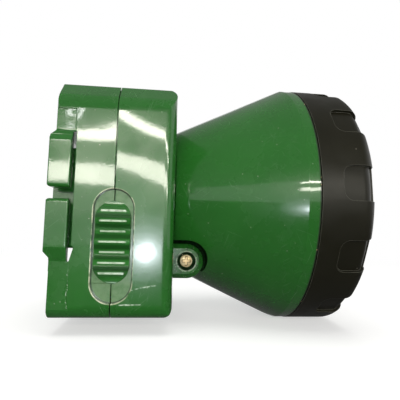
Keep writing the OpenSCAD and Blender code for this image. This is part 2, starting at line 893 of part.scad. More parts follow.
module knob_keeper() {
    color([0.85, 0.85, 0.82]) difference() {
        slab_y(-keeper_out_y, -keeper_out_y + keeper_t)
            translate([seam_x, knob_z]) oblong(keeper_w, keeper_l);
        translate([
            seam_x - stem_w / 2 - fit_gap, -keeper_out_y - cut, knob_z - stem_l / 2 - fit_gap
        ]) cube([stem_w + 2 * fit_gap, keeper_t + 2 * cut, stem_l + 2 * fit_gap]);
    }
}

// ---------- charging socket and light ----------

module charge_socket() {
    color([0.08, 0.08, 0.08]) difference() {
        union() {
            translate([socket_x - socket_block / 2, board_y, socket_z - socket_block / 2])
                cube([socket_block, inner_w - slide_gap - board_y, socket_block]);
            rod_y(socket_x, socket_z, collar_r, board_y + cut, half_w - socket_sunk);
        }
        rod_y(socket_x, socket_z, socket_r, board_y + socket_floor, half_w + cut);
    }
}

module socket_pin()
    color([0.75, 0.73, 0.68])
        rod_y(socket_x, socket_z, socket_pin_r, board_y + socket_floor, half_w - pin_sunk);

module charge_light() {
    color([0.85, 0.25, 0.2]) {
        rod_y(light_x, light_z, light_r, board_y + light_body, half_w - light_r / 2);
        translate([light_x, half_w - light_r / 2, light_z]) sphere(light_r);
        for (s = [-1, 1])
            translate([
                light_x + s * light_leg_at - light_leg / 2, board_y, light_z - light_leg / 2
            ]) cube([light_leg, light_body + light_leg, light_leg]);
    }
}

// ---------- leads ----------

module cell_leads() {
    top_z = cell_z + cell_l + strip_t + lead_r;
    low_z = cell_z - strip_t - lead_r;
    side_y = -board_y + board_t / 2;
    color([0.75, 0.1, 0.1])
        lead([[cell_x, -cell_y, top_z], [cell_x, side_y, top_z], [cell_x, side_y, board_high_z]]);
    color([0.1, 0.1, 0.1])
        lead([[cell_x, -cell_y, low_z], [cell_x, side_y, low_z], [cell_x, side_y, board_low_z]]);
}

module socket_leads() {
    side_y = board_y - board_t / 2;
    for (i = [0, 1])
        color(i == 0 ? [0.75, 0.1, 0.1] : [0.1, 0.1, 0.1]) lead([
            [socket_lead_x[i], -side_y, board_low_z], [socket_lead_x[i], -side_y, socket_lead_z],
            [socket_lead_x[i], side_y, socket_lead_z], [socket_lead_x[i], side_y, socket_low_z]
        ]);
}

module case_lead() {
    side_y = -board_y + board_t / 2;
    for (s = [-1, 1]) {
        z = lead_low_z + s * lead_step;
        y = -s * lead_step;
        color(s > 0 ? [0.75, 0.1, 0.1] : [0.1, 0.1, 0.1]) lead([
            [board_front_x, side_y, z], [lead_front_x, side_y, z], [lead_front_x, y, z],
            [lead_front_x, y, lead_z], [case_d - case_wall / 2, y, lead_z]
        ]);
    }
}

module hinge_lead() {
    for (s = [-1, 1])
        color(s > 0 ? [0.75, 0.1, 0.1] : [0.1, 0.1, 0.1])
            lead([
                [case_d - case_wall / 2, -s * lead_step, lead_z],
                [rear_wall_in_x, -s * lead_step, lead_z]
            ]);
}

module head_lead() {
    for (s = [-1, 1])
        color(s > 0 ? [0.75, 0.1, 0.1] : [0.1, 0.1, 0.1]) lead([
            [rear_wall_in_x, -s * lead_step, lead_z], [lead_turn_x, -s * lead_step, lead_z],
            [lead_turn_x, -s * lead_step, lead_end_z],
            [led_board_x - led_board_t, -s * lead_step, lead_end_z]
        ]);
}

module lead_grommet() {
    color([0.08, 0.08, 0.08]) difference() {
        union() {
            rod_x(0, lead_z, grommet_r, head_x + 1 - flange_h, head_x + 1);
            rod_x(0, lead_z, grommet_neck_r, head_x + 1 - flange_h, rear_wall_in_x + flange_h);
            rod_x(0, lead_z, grommet_r, rear_wall_in_x, rear_wall_in_x + flange_h);
        }
        rod_x(0, lead_z, lead_step + lead_r + slide_gap, head_x - cut, rear_wall_in_x + 2);
    }
}

// ---------- head ----------

// Space that an ear needs in the head, on the near side, grown by g
module ear_pocket(g) {
    r = ear_r + pocket_gap + g;
    y_in = pocket_floor_y - g;
    y_out = bezel_r + 5;
    rod_y(hinge_x, pivot_z, r, -y_out, -y_in);
    translate([head_x - 5, -y_out, pivot_z - 30])
        cube([pivot_x - head_gap + 5, y_out - y_in, 30 + r]);
}

// What the head gives up low at its rear so that it clears the case when it tilts
module tilt_relief() {
    r = relief_r;
    edge = -0.97 * r * [cos(tilt_max), sin(tilt_max)];
    far = edge + 40 * [sin(tilt_max), -cos(tilt_max)];
    translate([hinge_x, 0, pivot_z]) rotate([90, 0, 0]) linear_extrude(2 * bezel_r, center = true)
        difference() {
            polygon([[0, 0], [-30, 0], [-30, -60], far, edge]);
            circle(r);
        }
}

// Section of the head: cone, rim, and neck with its thread ridges
module head_outline() {
    inner_rear_r = cone_rear_r + cone_slope * case_wall - cone_off;
    ridges = [
        for (i = [0:2]) let (x = rim_x + thread_at + i * thread_pitch)
            each [
                [neck_r, x], [thread_r, x + thread_h],
                [thread_r, x + 4 * thread_h], [neck_r, x + 5 * thread_h]
            ]
    ];
    polygon(concat(
        [[0, head_x], [cone_rear_r, head_x], [rim_r, crease_x], [rim_r, rim_x], [neck_r, rim_x]],
        ridges,
        [
            [neck_r, neck_x], [neck_r - neck_wall, neck_x], [neck_r - neck_wall, crease_x + 1.6],
            [rim_r - cone_off, crease_x], [inner_rear_r, rear_wall_in_x], [0, rear_wall_in_x]
        ]
    ));
}

// The same outline with no hollow, to trim what is inside
module head_core() {
    inner_rear_r = cone_rear_r + cone_slope * case_wall - cone_off;
    beam() rotate_extrude() polygon([
        [0, head_x], [cone_rear_r - 0.5, head_x], [rim_r - cone_wall / 2, crease_x], [0, crease_x]
    ]);
}

module head_shell() {
    boss_r_in = pin_r + fit_gap;
    color([0.14, 0.42, 0.17]) difference() {
        union() {
            beam() rotate_extrude() head_outline();
            // walls around the ear pockets
            intersection() {
                head_core();
                both_sides() ear_pocket(pocket_wall);
            }
            // bosses for the hinge screws
            both_sides()
                rod_y(hinge_x, pivot_z, pivot_boss_r, -pocket_floor_y, -pocket_floor_y + boss_l);
            // posts for the heat sink
            for (a = [90, 210, 330])
                rod_x(sink_post_at * sin(a), beam_z + sink_post_at * cos(a), sink_post_r,
                    rear_wall_in_x - cut, sink_x);
        }
        both_sides() {
            ear_pocket(0);
            rod_y(hinge_x, pivot_z, boss_r_in, -pocket_floor_y - cut, -seat_y + pivot_screw_l + 0.5);
        }
        tilt_relief();
        rod_x(0, lead_z, grommet_neck_r, head_x - cut, rear_wall_in_x + cut);
        rod_x(0, lead_z, grommet_r + slide_gap, head_x - cut, head_x + 1);
        for (a = [90, 210, 330])
            rod_x(sink_post_at * sin(a), beam_z + sink_post_at * cos(a), sink_screw_r + fit_gap,
                sink_x - sink_hole_l, sink_x + cut);
    }
}

module pivot_screws() {
    color([0.78, 0.62, 0.3])
        both_sides()
            translate([hinge_x, -seat_y - 0.03 - pivot_head_h, pivot_z]) rotate([-90, 0, 0])
                screw_shape(pin_r, pivot_screw_l, pivot_head_r, pivot_head_h, pivot_slot);
}

module pivot_washers() {
    color([0.1, 0.1, 0.1])
        both_sides() difference() {
            rod_y(hinge_x, pivot_z, pivot_boss_r, -pocket_floor_y - washer_t, -pocket_floor_y);
            rod_y(hinge_x, pivot_z, pin_r + slide_gap, -ear_y, -pocket_floor_y + cut);
        }
}

module heat_sink() {
    color([0.75, 0.76, 0.78]) difference() {
        beam(sink_x) cylinder(r = sink_r, h = sink_t);
        for (a = [90, 210, 330])
            rod_x(sink_post_at * sin(a), beam_z + sink_post_at * cos(a), sink_screw_r + slide_gap,
                sink_x - cut, sink_x + sink_t + cut);
        rod_x(0, lead_end_z, lead_hole_r, sink_x - cut, sink_x + sink_t + cut);
        // cooling grooves in the rear face
        for (a = [0:60:300])
            beam(sink_x) rotate(a) translate([groove_at, -groove_w / 2, -cut])
                cube([sink_r, groove_w, cut + sink_t / 2]);
    }
}

module sink_screws() {
    color([0.72, 0.7, 0.66])
        for (a = [90, 210, 330])
            translate([
                sink_x + sink_t + small_head_h, sink_post_at * sin(a), beam_z + sink_post_at * cos(a)
            ]) rotate([0, -90, 0])
                screw_shape(sink_screw_r, sink_t + sink_screw_l, sink_head_r, small_head_h, small_slot);
}

module led_board() {
    color([0.92, 0.92, 0.9])
        beam(led_board_x - led_board_t) cylinder(r = led_board_r, h = led_board_t, $fn = 6);
}

module led_chip() {
    color([0.95, 0.93, 0.85])
        translate([led_board_x, -led_size / 2, beam_z - led_size / 2]) cube([led_t, led_size, led_size]);
}

module led_dome() {
    color([0.95, 0.85, 0.3])
        beam(led_board_x + led_t) intersection() {
            sphere(led_dome_r);
            cylinder(r = led_dome_r + cut, h = led_dome_r + cut);
        }
}

module led_ring() {
    color([0.9, 0.9, 0.88]) beam() rotate_extrude() polygon([
        [ring_in_r, led_board_x], [ring_out_r, led_board_x],
        [ring_out_r, led_board_x + led_ring_t], [throat_r - slide_gap, led_board_x + led_ring_t],
        [throat_r - slide_gap, throat_x + ring_up], [ring_in_r, throat_x + ring_up]
    ]);
}

// Distance along the beam at which the bowl has radius r
function bowl_x(r) = reflector_vertex_x + r * r / (4 * focal);

module reflector() {
    steps = 40;
    span = reflector_r - throat_r;
    inside = [for (i = [0:steps]) let (r = throat_r + span * i / steps) [r, bowl_x(r)]];
    outside = [
        for (i = [steps:-1:0]) let (r = throat_r + throat_wall + (span - throat_wall) * i / steps)
            [r, bowl_x(r) - reflector_t]
    ];
    color([0.85, 0.86, 0.88]) beam() rotate_extrude($fn = 96) polygon(concat(
        inside,
        [[flange_r, gasket_x], [flange_r, flange_x], [reflector_r, flange_x]],
        [for (p = outside) if (p[1] < flange_x) p],
        [[throat_r, reflector_low_x]]
    ));
}

module lens_gasket() {
    color([0.1, 0.1, 0.1])
        beam(gasket_x) difference() {
            cylinder(r = lens_r, h = gasket_t);
            translate([0, 0, -cut]) cylinder(r = window_r + 0.4, h = gasket_t + 2 * cut);
        }
}

module lens() {
    color([0.9, 0.95, 1.0, 0.4]) beam(lens_x) cylinder(r = lens_r, h = lens_t);
}

// Outline of the bezel ring, with its surface moved in by d
module bezel_outline(d) {
    difference() {
        translate([0, bezel_x]) square([bezel_r - d, bezel_l]);
        translate([bezel_r - bezel_edge_r, front_x - bezel_edge_r]) difference() {
            square(bezel_edge_r + cut);
            circle(bezel_edge_r - d);
        }
    }
}

module bezel_ring() {
    color([0.17, 0.19, 0.16]) difference() {
        union() {
            difference() {
                beam() rotate_extrude() bezel_outline(0);
                // grip recesses, round at their rear corners and open at the front
                for (i = [0:grip_count - 1])
                    translate([0, 0, beam_z])
                        rotate([grip_phase + i * 360 / grip_count, 0, 0])
                            translate([front_x - grip_l, -bezel_r + bezel_edge_r - 0.3, 0])
                                rotate([90, 0, 0]) linear_extrude(bezel_edge_r + 2)
                                    translate([0, -grip_w / 2])
                                        soft_rect(grip_l + 5, grip_w, [3, 0, 0, 3]);
            }
            beam() rotate_extrude() bezel_outline(grip_d);
        }
        beam(bezel_x - cut) cylinder(r = bezel_in_r, h = lens_front_x + 0.05 - bezel_x + cut);
        beam() cylinder(r = window_r, h = front_x + cut);
    }
}

stand() case_rear();
stand() case_front();
stand() case_screws();
stand() cell_near();
stand() cell_far();
stand() cell_strip_top();
stand() cell_strip_bottom();
stand() cell_foam();
stand() control_board();
stand() charger_chip();
stand() board_coil();
stand() board_capacitors();
stand() board_screws();
stand() switch_body();
stand() switch_lever();
stand() slide_knob();
stand() knob_keeper();
stand() socket_board();
stand() charge_socket();
stand() socket_pin();
stand() charge_light();
stand() cell_leads();
stand() socket_leads();
stand() case_lead();
stand() hinge_lead();
stand() head_lead();
stand() head_shell();
stand() pivot_screws();
stand() pivot_washers();
stand() lead_grommet();
stand() heat_sink();
stand() sink_screws();
stand() led_board();
stand() led_chip();
stand() led_dome();
stand() led_ring();
stand() reflector();
stand() lens_gasket();
stand() lens();
stand() bezel_ring();
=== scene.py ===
import bmesh
import bpy
import json
from math import sin, cos, pi, radians, sqrt
from mathutils import Matrix, Vector


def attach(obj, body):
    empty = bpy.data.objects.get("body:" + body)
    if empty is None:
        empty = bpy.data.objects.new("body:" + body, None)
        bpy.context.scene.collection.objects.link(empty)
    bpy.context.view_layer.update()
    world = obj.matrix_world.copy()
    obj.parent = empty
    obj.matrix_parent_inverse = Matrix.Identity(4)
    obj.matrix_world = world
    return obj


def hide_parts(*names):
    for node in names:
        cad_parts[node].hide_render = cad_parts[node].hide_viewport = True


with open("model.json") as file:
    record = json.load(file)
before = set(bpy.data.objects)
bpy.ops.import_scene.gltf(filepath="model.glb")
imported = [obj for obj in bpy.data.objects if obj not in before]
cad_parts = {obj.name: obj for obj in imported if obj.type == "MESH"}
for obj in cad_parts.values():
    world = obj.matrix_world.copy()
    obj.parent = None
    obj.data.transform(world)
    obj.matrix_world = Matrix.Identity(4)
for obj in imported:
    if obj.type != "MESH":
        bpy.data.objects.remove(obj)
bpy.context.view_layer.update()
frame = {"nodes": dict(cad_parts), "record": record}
nodes = frame["nodes"]

# Lengths are in millimetres, from the case's rear face (X), its middle (Y) and its bottom (Z),
# except where a comment says metres. mm() turns them into the frame's metres.
DX = -47.3
DZ = 4.8
SEAM_X = 17.9                   # where the two case halves meet
HINGE = (40.8, 16.5)            # the hinge axis, X and Z
HEAD_REAR_X = 36.6              # just in front of the head's rear face
RIM_JOINT = (77.45, 77.75)      # where the cone's rim meets the bezel
TRACK_Z = 21.5                  # the middle of the knob's track
TRACK_STRAIGHT = 10.85          # half the length of the track's straight part
TRACK_R = 6.0                   # half the track's width
TRACK_FLOOR = (32.4, 32.9)      # the track's floor, from the middle of the case
KNOB_Z = 22.6                   # the middle of the knob at rest, at the crest of a rib
RIB_PITCH = 3.05
GRIP_Z = (15.0, 30.4)           # the knob's five middle ribs
PAD_X, PAD_Z = 5.8, 50.0        # front edge and lower end of the strip above the strap hook
PAD_SIDE = (32.5, 34.2)         # where that strip's face is, from the middle of the case
# A pair below is where a mask starts and where it is full, measured from the middle of the lamp.
SIDE_FACE = (33.4, 33.7)        # the case's flat sides
KNOB_OUT = (33.2, 34.2)         # the knob's ribs, from their valleys
KNOB_CREST = (34.2, 34.5)       # the ribs' crests
EAR = (17.5, 18.0)              # the hinge ears
EAR_FACE = (20.3, 20.6)         # their outer faces
SEAT = (17.0, 17.5)             # the hinge screws' seats in them
SEAT_R = 3.0


def mm(x, y, z):
    return Vector(((x + DX) / 1000, y / 1000, (z + DZ) / 1000))


# ---------------------------------------------------------------- camera
# Solved from the edges in the photo. The focal length is in the photo's pixels.
PHOTO_PX = 400
FOCAL_PX = 382.655
SENSOR = 36
YAW, PITCH, ROLL = 0.1057, 0.1000, 0.0225       # radians
CAMERA_AT = (31.279, -149.088, 24.136)
CLIP = (0.005, 20)                              # metres


def add_camera():
    forward = Vector((sin(YAW) * cos(PITCH), cos(YAW) * cos(PITCH), sin(PITCH)))
    level = Vector((cos(YAW), -sin(YAW), 0))
    over = level.cross(forward)
    right = cos(ROLL) * level + sin(ROLL) * over
    up = -sin(ROLL) * level + cos(ROLL) * over
    data = bpy.data.cameras.new("camera")
    data.sensor_width = SENSOR
    data.lens = FOCAL_PX / PHOTO_PX * SENSOR
    data.clip_start, data.clip_end = CLIP
    camera = bpy.data.objects.new("camera", data)
    bpy.context.scene.collection.objects.link(camera)
    turn = Matrix((right, up, -forward)).transposed()
    camera.matrix_world = Matrix.Translation(mm(*CAMERA_AT)) @ turn.to_4x4()
    bpy.context.scene.camera = camera


add_camera()
bpy.context.scene.view_settings.view_transform = "Standard"


# ---------------------------------------------------------------- materials
class Paint:
    """One node material in the making. Sizes are in millimetres."""

    def __init__(self, name):
        self.material = bpy.data.materials.new(name)
        self.material.use_nodes = True
        self.nodes = self.material.node_tree.nodes
        self.links = self.material.node_tree.links
        self.nodes.clear()
        self.place = self.nodes.new("ShaderNodeTexCoord").outputs["Object"]
        self.parts = None

    def node(self, kind, inputs=None, **settings):
        made = self.nodes.new("ShaderNode" + kind)
        for name, value in settings.items():
            setattr(made, name, value)
        for key, value in (inputs or {}).items():
            self.feed(made.inputs[key], value)
        return made

    def feed(self, socket, value):
        if isinstance(value, bpy.types.NodeSocket):
            self.links.new(value, socket)
        elif socket.type == "RGBA":
            socket.default_value = (*value, 1)
        else:
            socket.default_value = value

    # -- arithmetic
    def math(self, operation, a, b=0.0):
        return self.node("Math", {0: a, 1: b}, operation=operation).outputs[0]

    def plus(self, a, b):
        return self.math("ADD", a, b)

    def minus(self, a, b):
        return self.math("SUBTRACT", a, b)

    def times(self, a, b):
        return self.math("MULTIPLY", a, b)

    def size(self, value):
        return self.math("ABSOLUTE", value)

    def most(self, first, *others):
        for other in others:
            first = self.math("MAXIMUM", first, other)
        return first

    def both(self, first, *others):
        """The product of masks: 1 only where all of them are."""
        for other in others:
            first = self.times(first, other)
        return first

    def hypot(self, a, b):
        return self.math("SQRT", self.plus(self.times(a, a), self.times(b, b)))

    def span(self, value, low, high, to_low=0.0, to_high=1.0):
        """The value mapped from low..high to to_low..to_high, and held at these outside."""
        return self.node("MapRange", {0: value, 1: low, 2: high, 3: to_low, 4: to_high}).outputs[0]

    def within(self, value, low, high, soft=0.1):
        """1 between low and high, falling to 0 over soft outside them."""
        return self.times(self.span(value, low - soft, low), self.span(value, high + soft, high))

    def above(self, value, start, soft):
        """How far the value is above start, bending in over soft."""
        return self.node("Math", {0: self.minus(value, start), 1: 0.0, 2: soft},
                         operation="SMOOTH_MAX").outputs[0]

    # -- colour
    def mix(self, factor, a, b):
        return self.node("Mix", {0: factor, 6: a, 7: b}, data_type="RGBA").outputs[2]

    def coat(self, colour, mask, share, paint):
        """The colour with a share of another paint over it where the mask is 1."""
        return self.mix(self.times(mask, share), colour, paint)

    # -- place and pattern
    def axis(self, index):
        """A coordinate in millimetres: 0 from the case's rear, 1 across, 2 above its bottom."""
        if self.parts is None:
            self.parts = self.node("SeparateXYZ", {0: self.place}).outputs
        offset = (-DX, 0, -DZ)[index]
        return self.node("Math", {0: self.parts[index], 1: 1000.0, 2: offset},
                         operation="MULTIPLY_ADD").outputs[0]

    def from_hinge(self):
        """How far a point is in front of the hinge axis, above it, and from it in the side view."""
        dx = self.minus(self.axis(0), HINGE[0])
        dz = self.minus(self.axis(2), HINGE[1])
        return dx, dz, self.hypot(dx, dz)

    def grid(self, size, stretch=(1, 1, 1), turn=(0, 0, 0), shift=0.0):
        """Coordinates whose unit is size times stretch, turned by turn. A shift of 1 is 10."""
        where = self.node("Mapping", {"Vector": self.place,
                                      "Scale": [size / 1000 * s for s in stretch],
                                      "Rotation": turn, "Location": [shift / 100] * 3},
                          vector_type="TEXTURE")
        return where.outputs[0]

    def noise(self, size, detail=2.0, stretch=(1, 1, 1), turn=(0, 0, 0), shift=0.0):
        """Cloudy noise with features about size wide, longer where stretch is more than 1."""
        made = self.node("TexNoise", {"Vector": self.grid(size, stretch, turn, shift),
                                      "Scale": 1.0, "Detail": detail, "Roughness": 0.5})
        return made.outputs["Fac"]

    def patches(self, size, detail, low, high, to_low=0.0, to_high=1.0, shift=0.0):
        """Noise whose range low..high is mapped to to_low..to_high."""
        return self.span(self.noise(size, detail=detail, shift=shift), low, high, to_low, to_high)

    def cells(self, size, shift=0.0):
        """A Voronoi pattern: its distance from each cell's middle, and a random colour a cell."""
        made = self.node("TexVoronoi", {"Vector": self.grid(size, shift=shift), "Scale": 1.0})
        return made.outputs["Distance"], made.outputs["Color"]

    def specks(self, size, radius, share, shift=0.0):
        """Round specks in a share of the cells of a pattern whose cells are size wide."""
        distance, colour = self.cells(size, shift)
        near = self.span(distance, radius, radius * 0.6)
        chosen = self.math("LESS_THAN", colour, share)
        return self.times(near, chosen)

    def scratches(self, width, length, angle, low, high, shift=0.0):
        """Thin streaks that run at an angle in the side view."""
        value = self.noise(width, detail=1.0, stretch=(length / width, length / width, 1),
                           turn=(0, radians(angle), 0), shift=shift)
        return self.span(value, low, high)

    # -- surface
    def edge(self, radius, gain=6.0):
        """1 along sharp edges, fading to 0 at radius from them, and the rounded normal."""
        soft = self.node("Bevel", {"Radius": radius / 1000}, samples=6)
        flat = self.node("NewGeometry").outputs["Normal"]
        along = self.node("VectorMath", {0: soft.outputs[0], 1: flat}, operation="DOT_PRODUCT")
        return self.span(along.outputs["Value"], 1.0, 1.0 - 1.0 / gain), soft.outputs[0]

    def bump(self, height, depth, normal=None):
        inputs = {"Height": height, "Distance": depth / 1000, "Strength": 1.0}
        if normal is not None:
            inputs["Normal"] = normal
        return self.node("Bump", inputs).outputs[0]

    def finish(self, inputs):
        shader = self.node("BsdfPrincipled", inputs)
        out = self.nodes.new("ShaderNodeOutputMaterial")
        self.links.new(shader.outputs[0], out.inputs[0])
        return self.material


# The next four functions give heights in millimetres to a bump, so they bend reflections and move
# no surface. They were fitted so that the reflections fall where the photo has them: the CAD's
# faces there are flat, or a plain cone, and the lean isn't measured from the lamp. The case's flat
# sides end at a height of 65.6 and its slanted facet at 72.5.
def bends(p, *terms):
    """The sum of slopes that each start at their own height: (start, soft, slope) for each."""
    total = 0.0
    for start, soft, slope in terms:
        total = p.plus(total, p.times(p.above(p.axis(2), start, soft), slope))
    return total


def front_sink(p):
    """The front half leans by the seam: 0.85 at its side's top, 1.1 at the facet's."""
    rise = bends(p, (38, 6, 0.033), (46, 5, -0.008), (58, 6, 0.012))
    return p.times(rise, p.span(p.axis(0), SEAM_X, SEAM_X + 15, 1.0, 0.12))


def rear_sink(p):
    """The rear half leans by 0.2 and 0.33 there, and the strip by the upper hook by 0.5."""
    left = bends(p, (30, 5, 0.0035), (49, 5, -0.006))
    right = bends(p, (44, 8, 0.003), (57, 5, 0.016))
    share = p.span(p.axis(0), 6.0, 17.5)
    lean = p.plus(p.times(left, p.minus(1.0, share)), p.times(right, share))
    strip = p.both(p.span(p.axis(0), PAD_X + 0.05, PAD_X - 0.05),
                   p.within(p.size(p.axis(1)), *PAD_SIDE), p.span(p.axis(2), PAD_Z, PAD_Z + 0.1))
    below = p.most(p.minus(59.2, p.axis(2)), 0.0)
    tilt = p.plus(p.times(p.minus(p.axis(2), 61.5), -0.003),
                  p.times(p.minus(p.axis(0), PAD_X), 0.008))
    pad = p.plus(tilt, p.times(p.times(below, below), 0.006))
    return p.plus(lean, p.times(pad, strip))


def head_barrel(p):
    """The cone is barrelled by up to 0.35, at its rear edge."""
    off = p.minus(p.axis(0), 66.0)
    return p.times(p.times(off, off), -0.0004)


def green_plastic(name, warp, seed, marks, haze=0.33, peel=0.0035):
    """Glossy green ABS: cloudy colour, scuffed edges, fine scratches and dust."""
    p = Paint(name)
    cloud = p.patches(22, 3.0, 0.3, 0.7, shift=seed)
    edge, soft = p.edge(0.35)
    streaks = p.most(*[p.scratches(0.16, 7, angle, 0.715, 0.78, shift=seed + number)
                       for number, angle in enumerate((22, -38, 64, -75))])
    streaks = p.times(streaks, p.patches(14, 2.0, 0.48, 0.6, shift=seed + 3))
    dust = p.specks(2.6, 0.075, 0.40, shift=seed)
    scuffed = p.times(edge, p.patches(1.6, 4.0, 0.45, 0.7))
    colour = p.mix(cloud, (0.0130, 0.103, 0.0120), (0.0165, 0.120, 0.0150))
    colour = p.coat(colour, scuffed, 0.5, (0.080, 0.24, 0.08))
    colour = p.coat(colour, streaks, 0.30, (0.20, 0.34, 0.20))
    colour = p.coat(colour, dust, 0.6, (0.42, 0.46, 0.36))
    smudge = p.patches(7, 4.0, 0.35, 0.75, 0.20, 0.36, shift=seed + 11)
    rough = p.plus(smudge, p.times(p.most(streaks, dust), 0.3))
    colour, rough = marks(p, colour, rough)
    normal = p.bump(p.noise(16, detail=1.0, shift=seed), 0.05, soft)
    normal = p.bump(p.noise(0.8), peel, normal)
    normal = p.bump(warp(p), 1.0, normal)
    return p.finish({"Base Color": colour, "Roughness": rough, "Normal": normal, "IOR": 1.5,
                     "Specular IOR Level": haze, "Coat Weight": 0.85, "Coat Roughness": 0.05,
                     "Coat Normal": normal})


def line_mark(p, start, end, width):
    """1 along the line between two points of the side view, with a little wander."""
    run = Vector(end) - Vector(start)
    length = run.length
    run_x, run_z = run[0] / length, run[1] / length
    dx = p.minus(p.axis(0), start[0])
    dz = p.minus(p.axis(2), start[1])
    along = p.plus(p.times(dx, run_x), p.times(dz, run_z))
    off = p.minus(p.times(dz, run_x), p.times(dx, run_z))
    wander = p.times(p.minus(p.noise(4.0), 0.5), 0.9)
    off = p.size(p.plus(off, wander))
    return p.both(p.span(off, width, width * 0.4), p.within(along, 0, length, 0.6),
                  p.patches(1.1, 3.0, 0.38, 0.55))


def case_marks(p, colour, rough):
    """Near side: the knob's track dusty pale, painted shade inside its wall, a painted highlight
    with rubbing on its rim, scratches near.
    """
    side = p.times(p.axis(1), -1.0)
    dx = p.minus(p.axis(0), SEAM_X)
    dz = p.most(p.minus(p.size(p.minus(p.axis(2), TRACK_Z)), TRACK_STRAIGHT), 0.0)
    reach = p.hypot(dx, dz)
    track = p.both(p.span(reach, TRACK_R + 0.1, TRACK_R), p.within(side, *TRACK_FLOOR, 0.2))
    # Painted highlight: a pale line along the track's rim, fuller towards the rear, with rubbed
    # wear in it.
    rim = p.both(p.within(reach, TRACK_R, TRACK_R + 0.2, 0.14),
                 p.span(side, TRACK_FLOOR[1], TRACK_FLOOR[1] + 0.2),
                 p.patches(2.6, 4.0, 0.34, 0.56), p.span(dx, -3.0, 3.0, 1.0, 0.6))
    # Painted shade: a dark line on the track's floor just inside its wall.
    shade = p.both(p.within(reach, TRACK_R - 0.28, TRACK_R - 0.08, 0.08), track)
    dusty = p.both(track, p.patches(1.5, 4.0, 0.25, 0.6, 0.5, 1.0))
    colour = p.coat(colour, dusty, 0.42, (0.28, 0.40, 0.24))
    colour = p.coat(colour, shade, 0.85, (0.008, 0.022, 0.007))
    colour = p.coat(colour, rim, 0.9, (0.66, 0.68, 0.48))
    cut = p.most(line_mark(p, (24.2, 8.8), (30.5, 10.1), 0.22),
                 line_mark(p, (20.9, 4.4), (26.4, 4.5), 0.22))
    grit = p.both(p.within(p.axis(0), 5.4, 5.8, 0.1), p.within(p.axis(2), 3.0, 14.0, 1.0),
                  p.patches(0.7, 3.0, 0.56, 0.62, shift=5.0))
    cut = p.times(p.most(cut, grit), p.span(side, *SIDE_FACE))
    colour = p.coat(colour, cut, 0.85, (0.58, 0.68, 0.56))
    rough = p.plus(rough, p.times(p.most(track, cut), 0.25))
    return colour, rough


def hinge_marks(p, colour, rough):
    """Painted shade with old grease in the hinge screws' seats, and pale grit rubbed into the ears
    around them.
    """
    side = p.size(p.axis(1))
    on_ear = p.span(side, *EAR)
    reach = p.from_hinge()[2]
    # Painted shade, with grease in it: the seats near-black.
    seat = p.both(p.span(reach, SEAT_R + 0.12, SEAT_R), p.span(side, *SEAT))
    ring = p.both(p.within(reach, 3.1, 3.4, 0.12), p.span(side, *EAR_FACE),
                  p.patches(0.9, 4.0, 0.42, 0.54))
    grit = p.both(p.span(reach, 6.4, 5.0), on_ear, p.specks(0.8, 0.24, 0.4, shift=3.0))
    grime = p.both(p.span(reach, 6.6, 4.0), on_ear, p.patches(1.1, 4.0, 0.45, 0.65))
    colour = p.coat(colour, grime, 0.8, (0.007, 0.022, 0.008))
    colour = p.coat(colour, p.most(ring, grit), 0.55, (0.34, 0.42, 0.30))
    colour = p.coat(colour, seat, 0.95, (0.005, 0.006, 0.004))
    rough = p.plus(rough, p.times(p.most(seat, grit, grime), 0.35))
    return colour, rough


def front_marks(p, colour, rough):
    colour, rough = case_marks(p, colour, rough)
    return hinge_marks(p, colour, rough)


def head_marks(p, colour, rough):
    """The cone is painted dark along its joint with the bezel, with a few bright grains."""
    joint = p.span(p.axis(0), *RIM_JOINT)
    grains = p.both(joint, p.specks(0.9, 0.3, 0.25, shift=8.0))
    colour = p.coat(colour, joint, 0.9, (0.008, 0.012, 0.006))
    colour = p.mix(grains, colour, (0.45, 0.36, 0.20))
    rough = p.plus(rough, p.times(joint, 0.4))
    return colour, rough


def pocket_shade(name):
    """Painted shade for the shadowed gaps around the hinge: green plastic painted near-black, with
    specks of dust.
    """
    p = Paint(name)
    patch = p.patches(1.2, 4.0, 0.35, 0.65)
    colour = p.mix(patch, (0.004, 0.012, 0.004), (0.012, 0.035, 0.012))
    colour = p.coat(colour, p.specks(0.9, 0.2, 0.22), 0.8, (0.30, 0.24, 0.18))
    return p.finish({"Base Color": colour, "Roughness": p.span(patch, 0.0, 1.0, 0.75, 0.6),
                     "Normal": p.bump(p.noise(0.4, detail=3.0), 0.02), "Specular IOR Level": 0.0})


def screw_brass(name):
    """The hinge screws: brass-plated, the cross painted dark along its walls as shade and lighter
    in its middle, with a rubbed rim.
    """
    p = Paint(name)
    dx, dz, reach = p.from_hinge()
    arm = p.math("MINIMUM", p.size(dx), p.size(dz))
    # Painted shade: the cross darker towards its walls, lighter in its middle.
    cross = p.both(p.span(arm, 0.58, 0.46), p.span(reach, 1.65, 1.5))
    inside = p.both(p.span(arm, 0.34, 0.24), p.span(reach, 1.35, 1.1))
    stain = p.patches(0.7, 4.0, 0.35, 0.65)
    edge, soft = p.edge(0.08)
    colour = p.mix(stain, (0.82, 0.64, 0.32), (0.98, 0.86, 0.58))
    colour = p.coat(colour, cross, 0.9, (0.16, 0.10, 0.03))
    colour = p.coat(colour, inside, 0.85, (0.86, 0.68, 0.40))
    colour = p.coat(colour, edge, 0.5, (0.95, 0.88, 0.66))
    rough = p.plus(p.patches(0.4, 3.0, 0.3, 0.7, 0.32, 0.46), p.times(cross, 0.2))
    return p.finish({"Base Color": colour, "Roughness": rough, "Metallic": 0.55,
                     "Normal": p.bump(p.noise(0.25), 0.012, soft)})


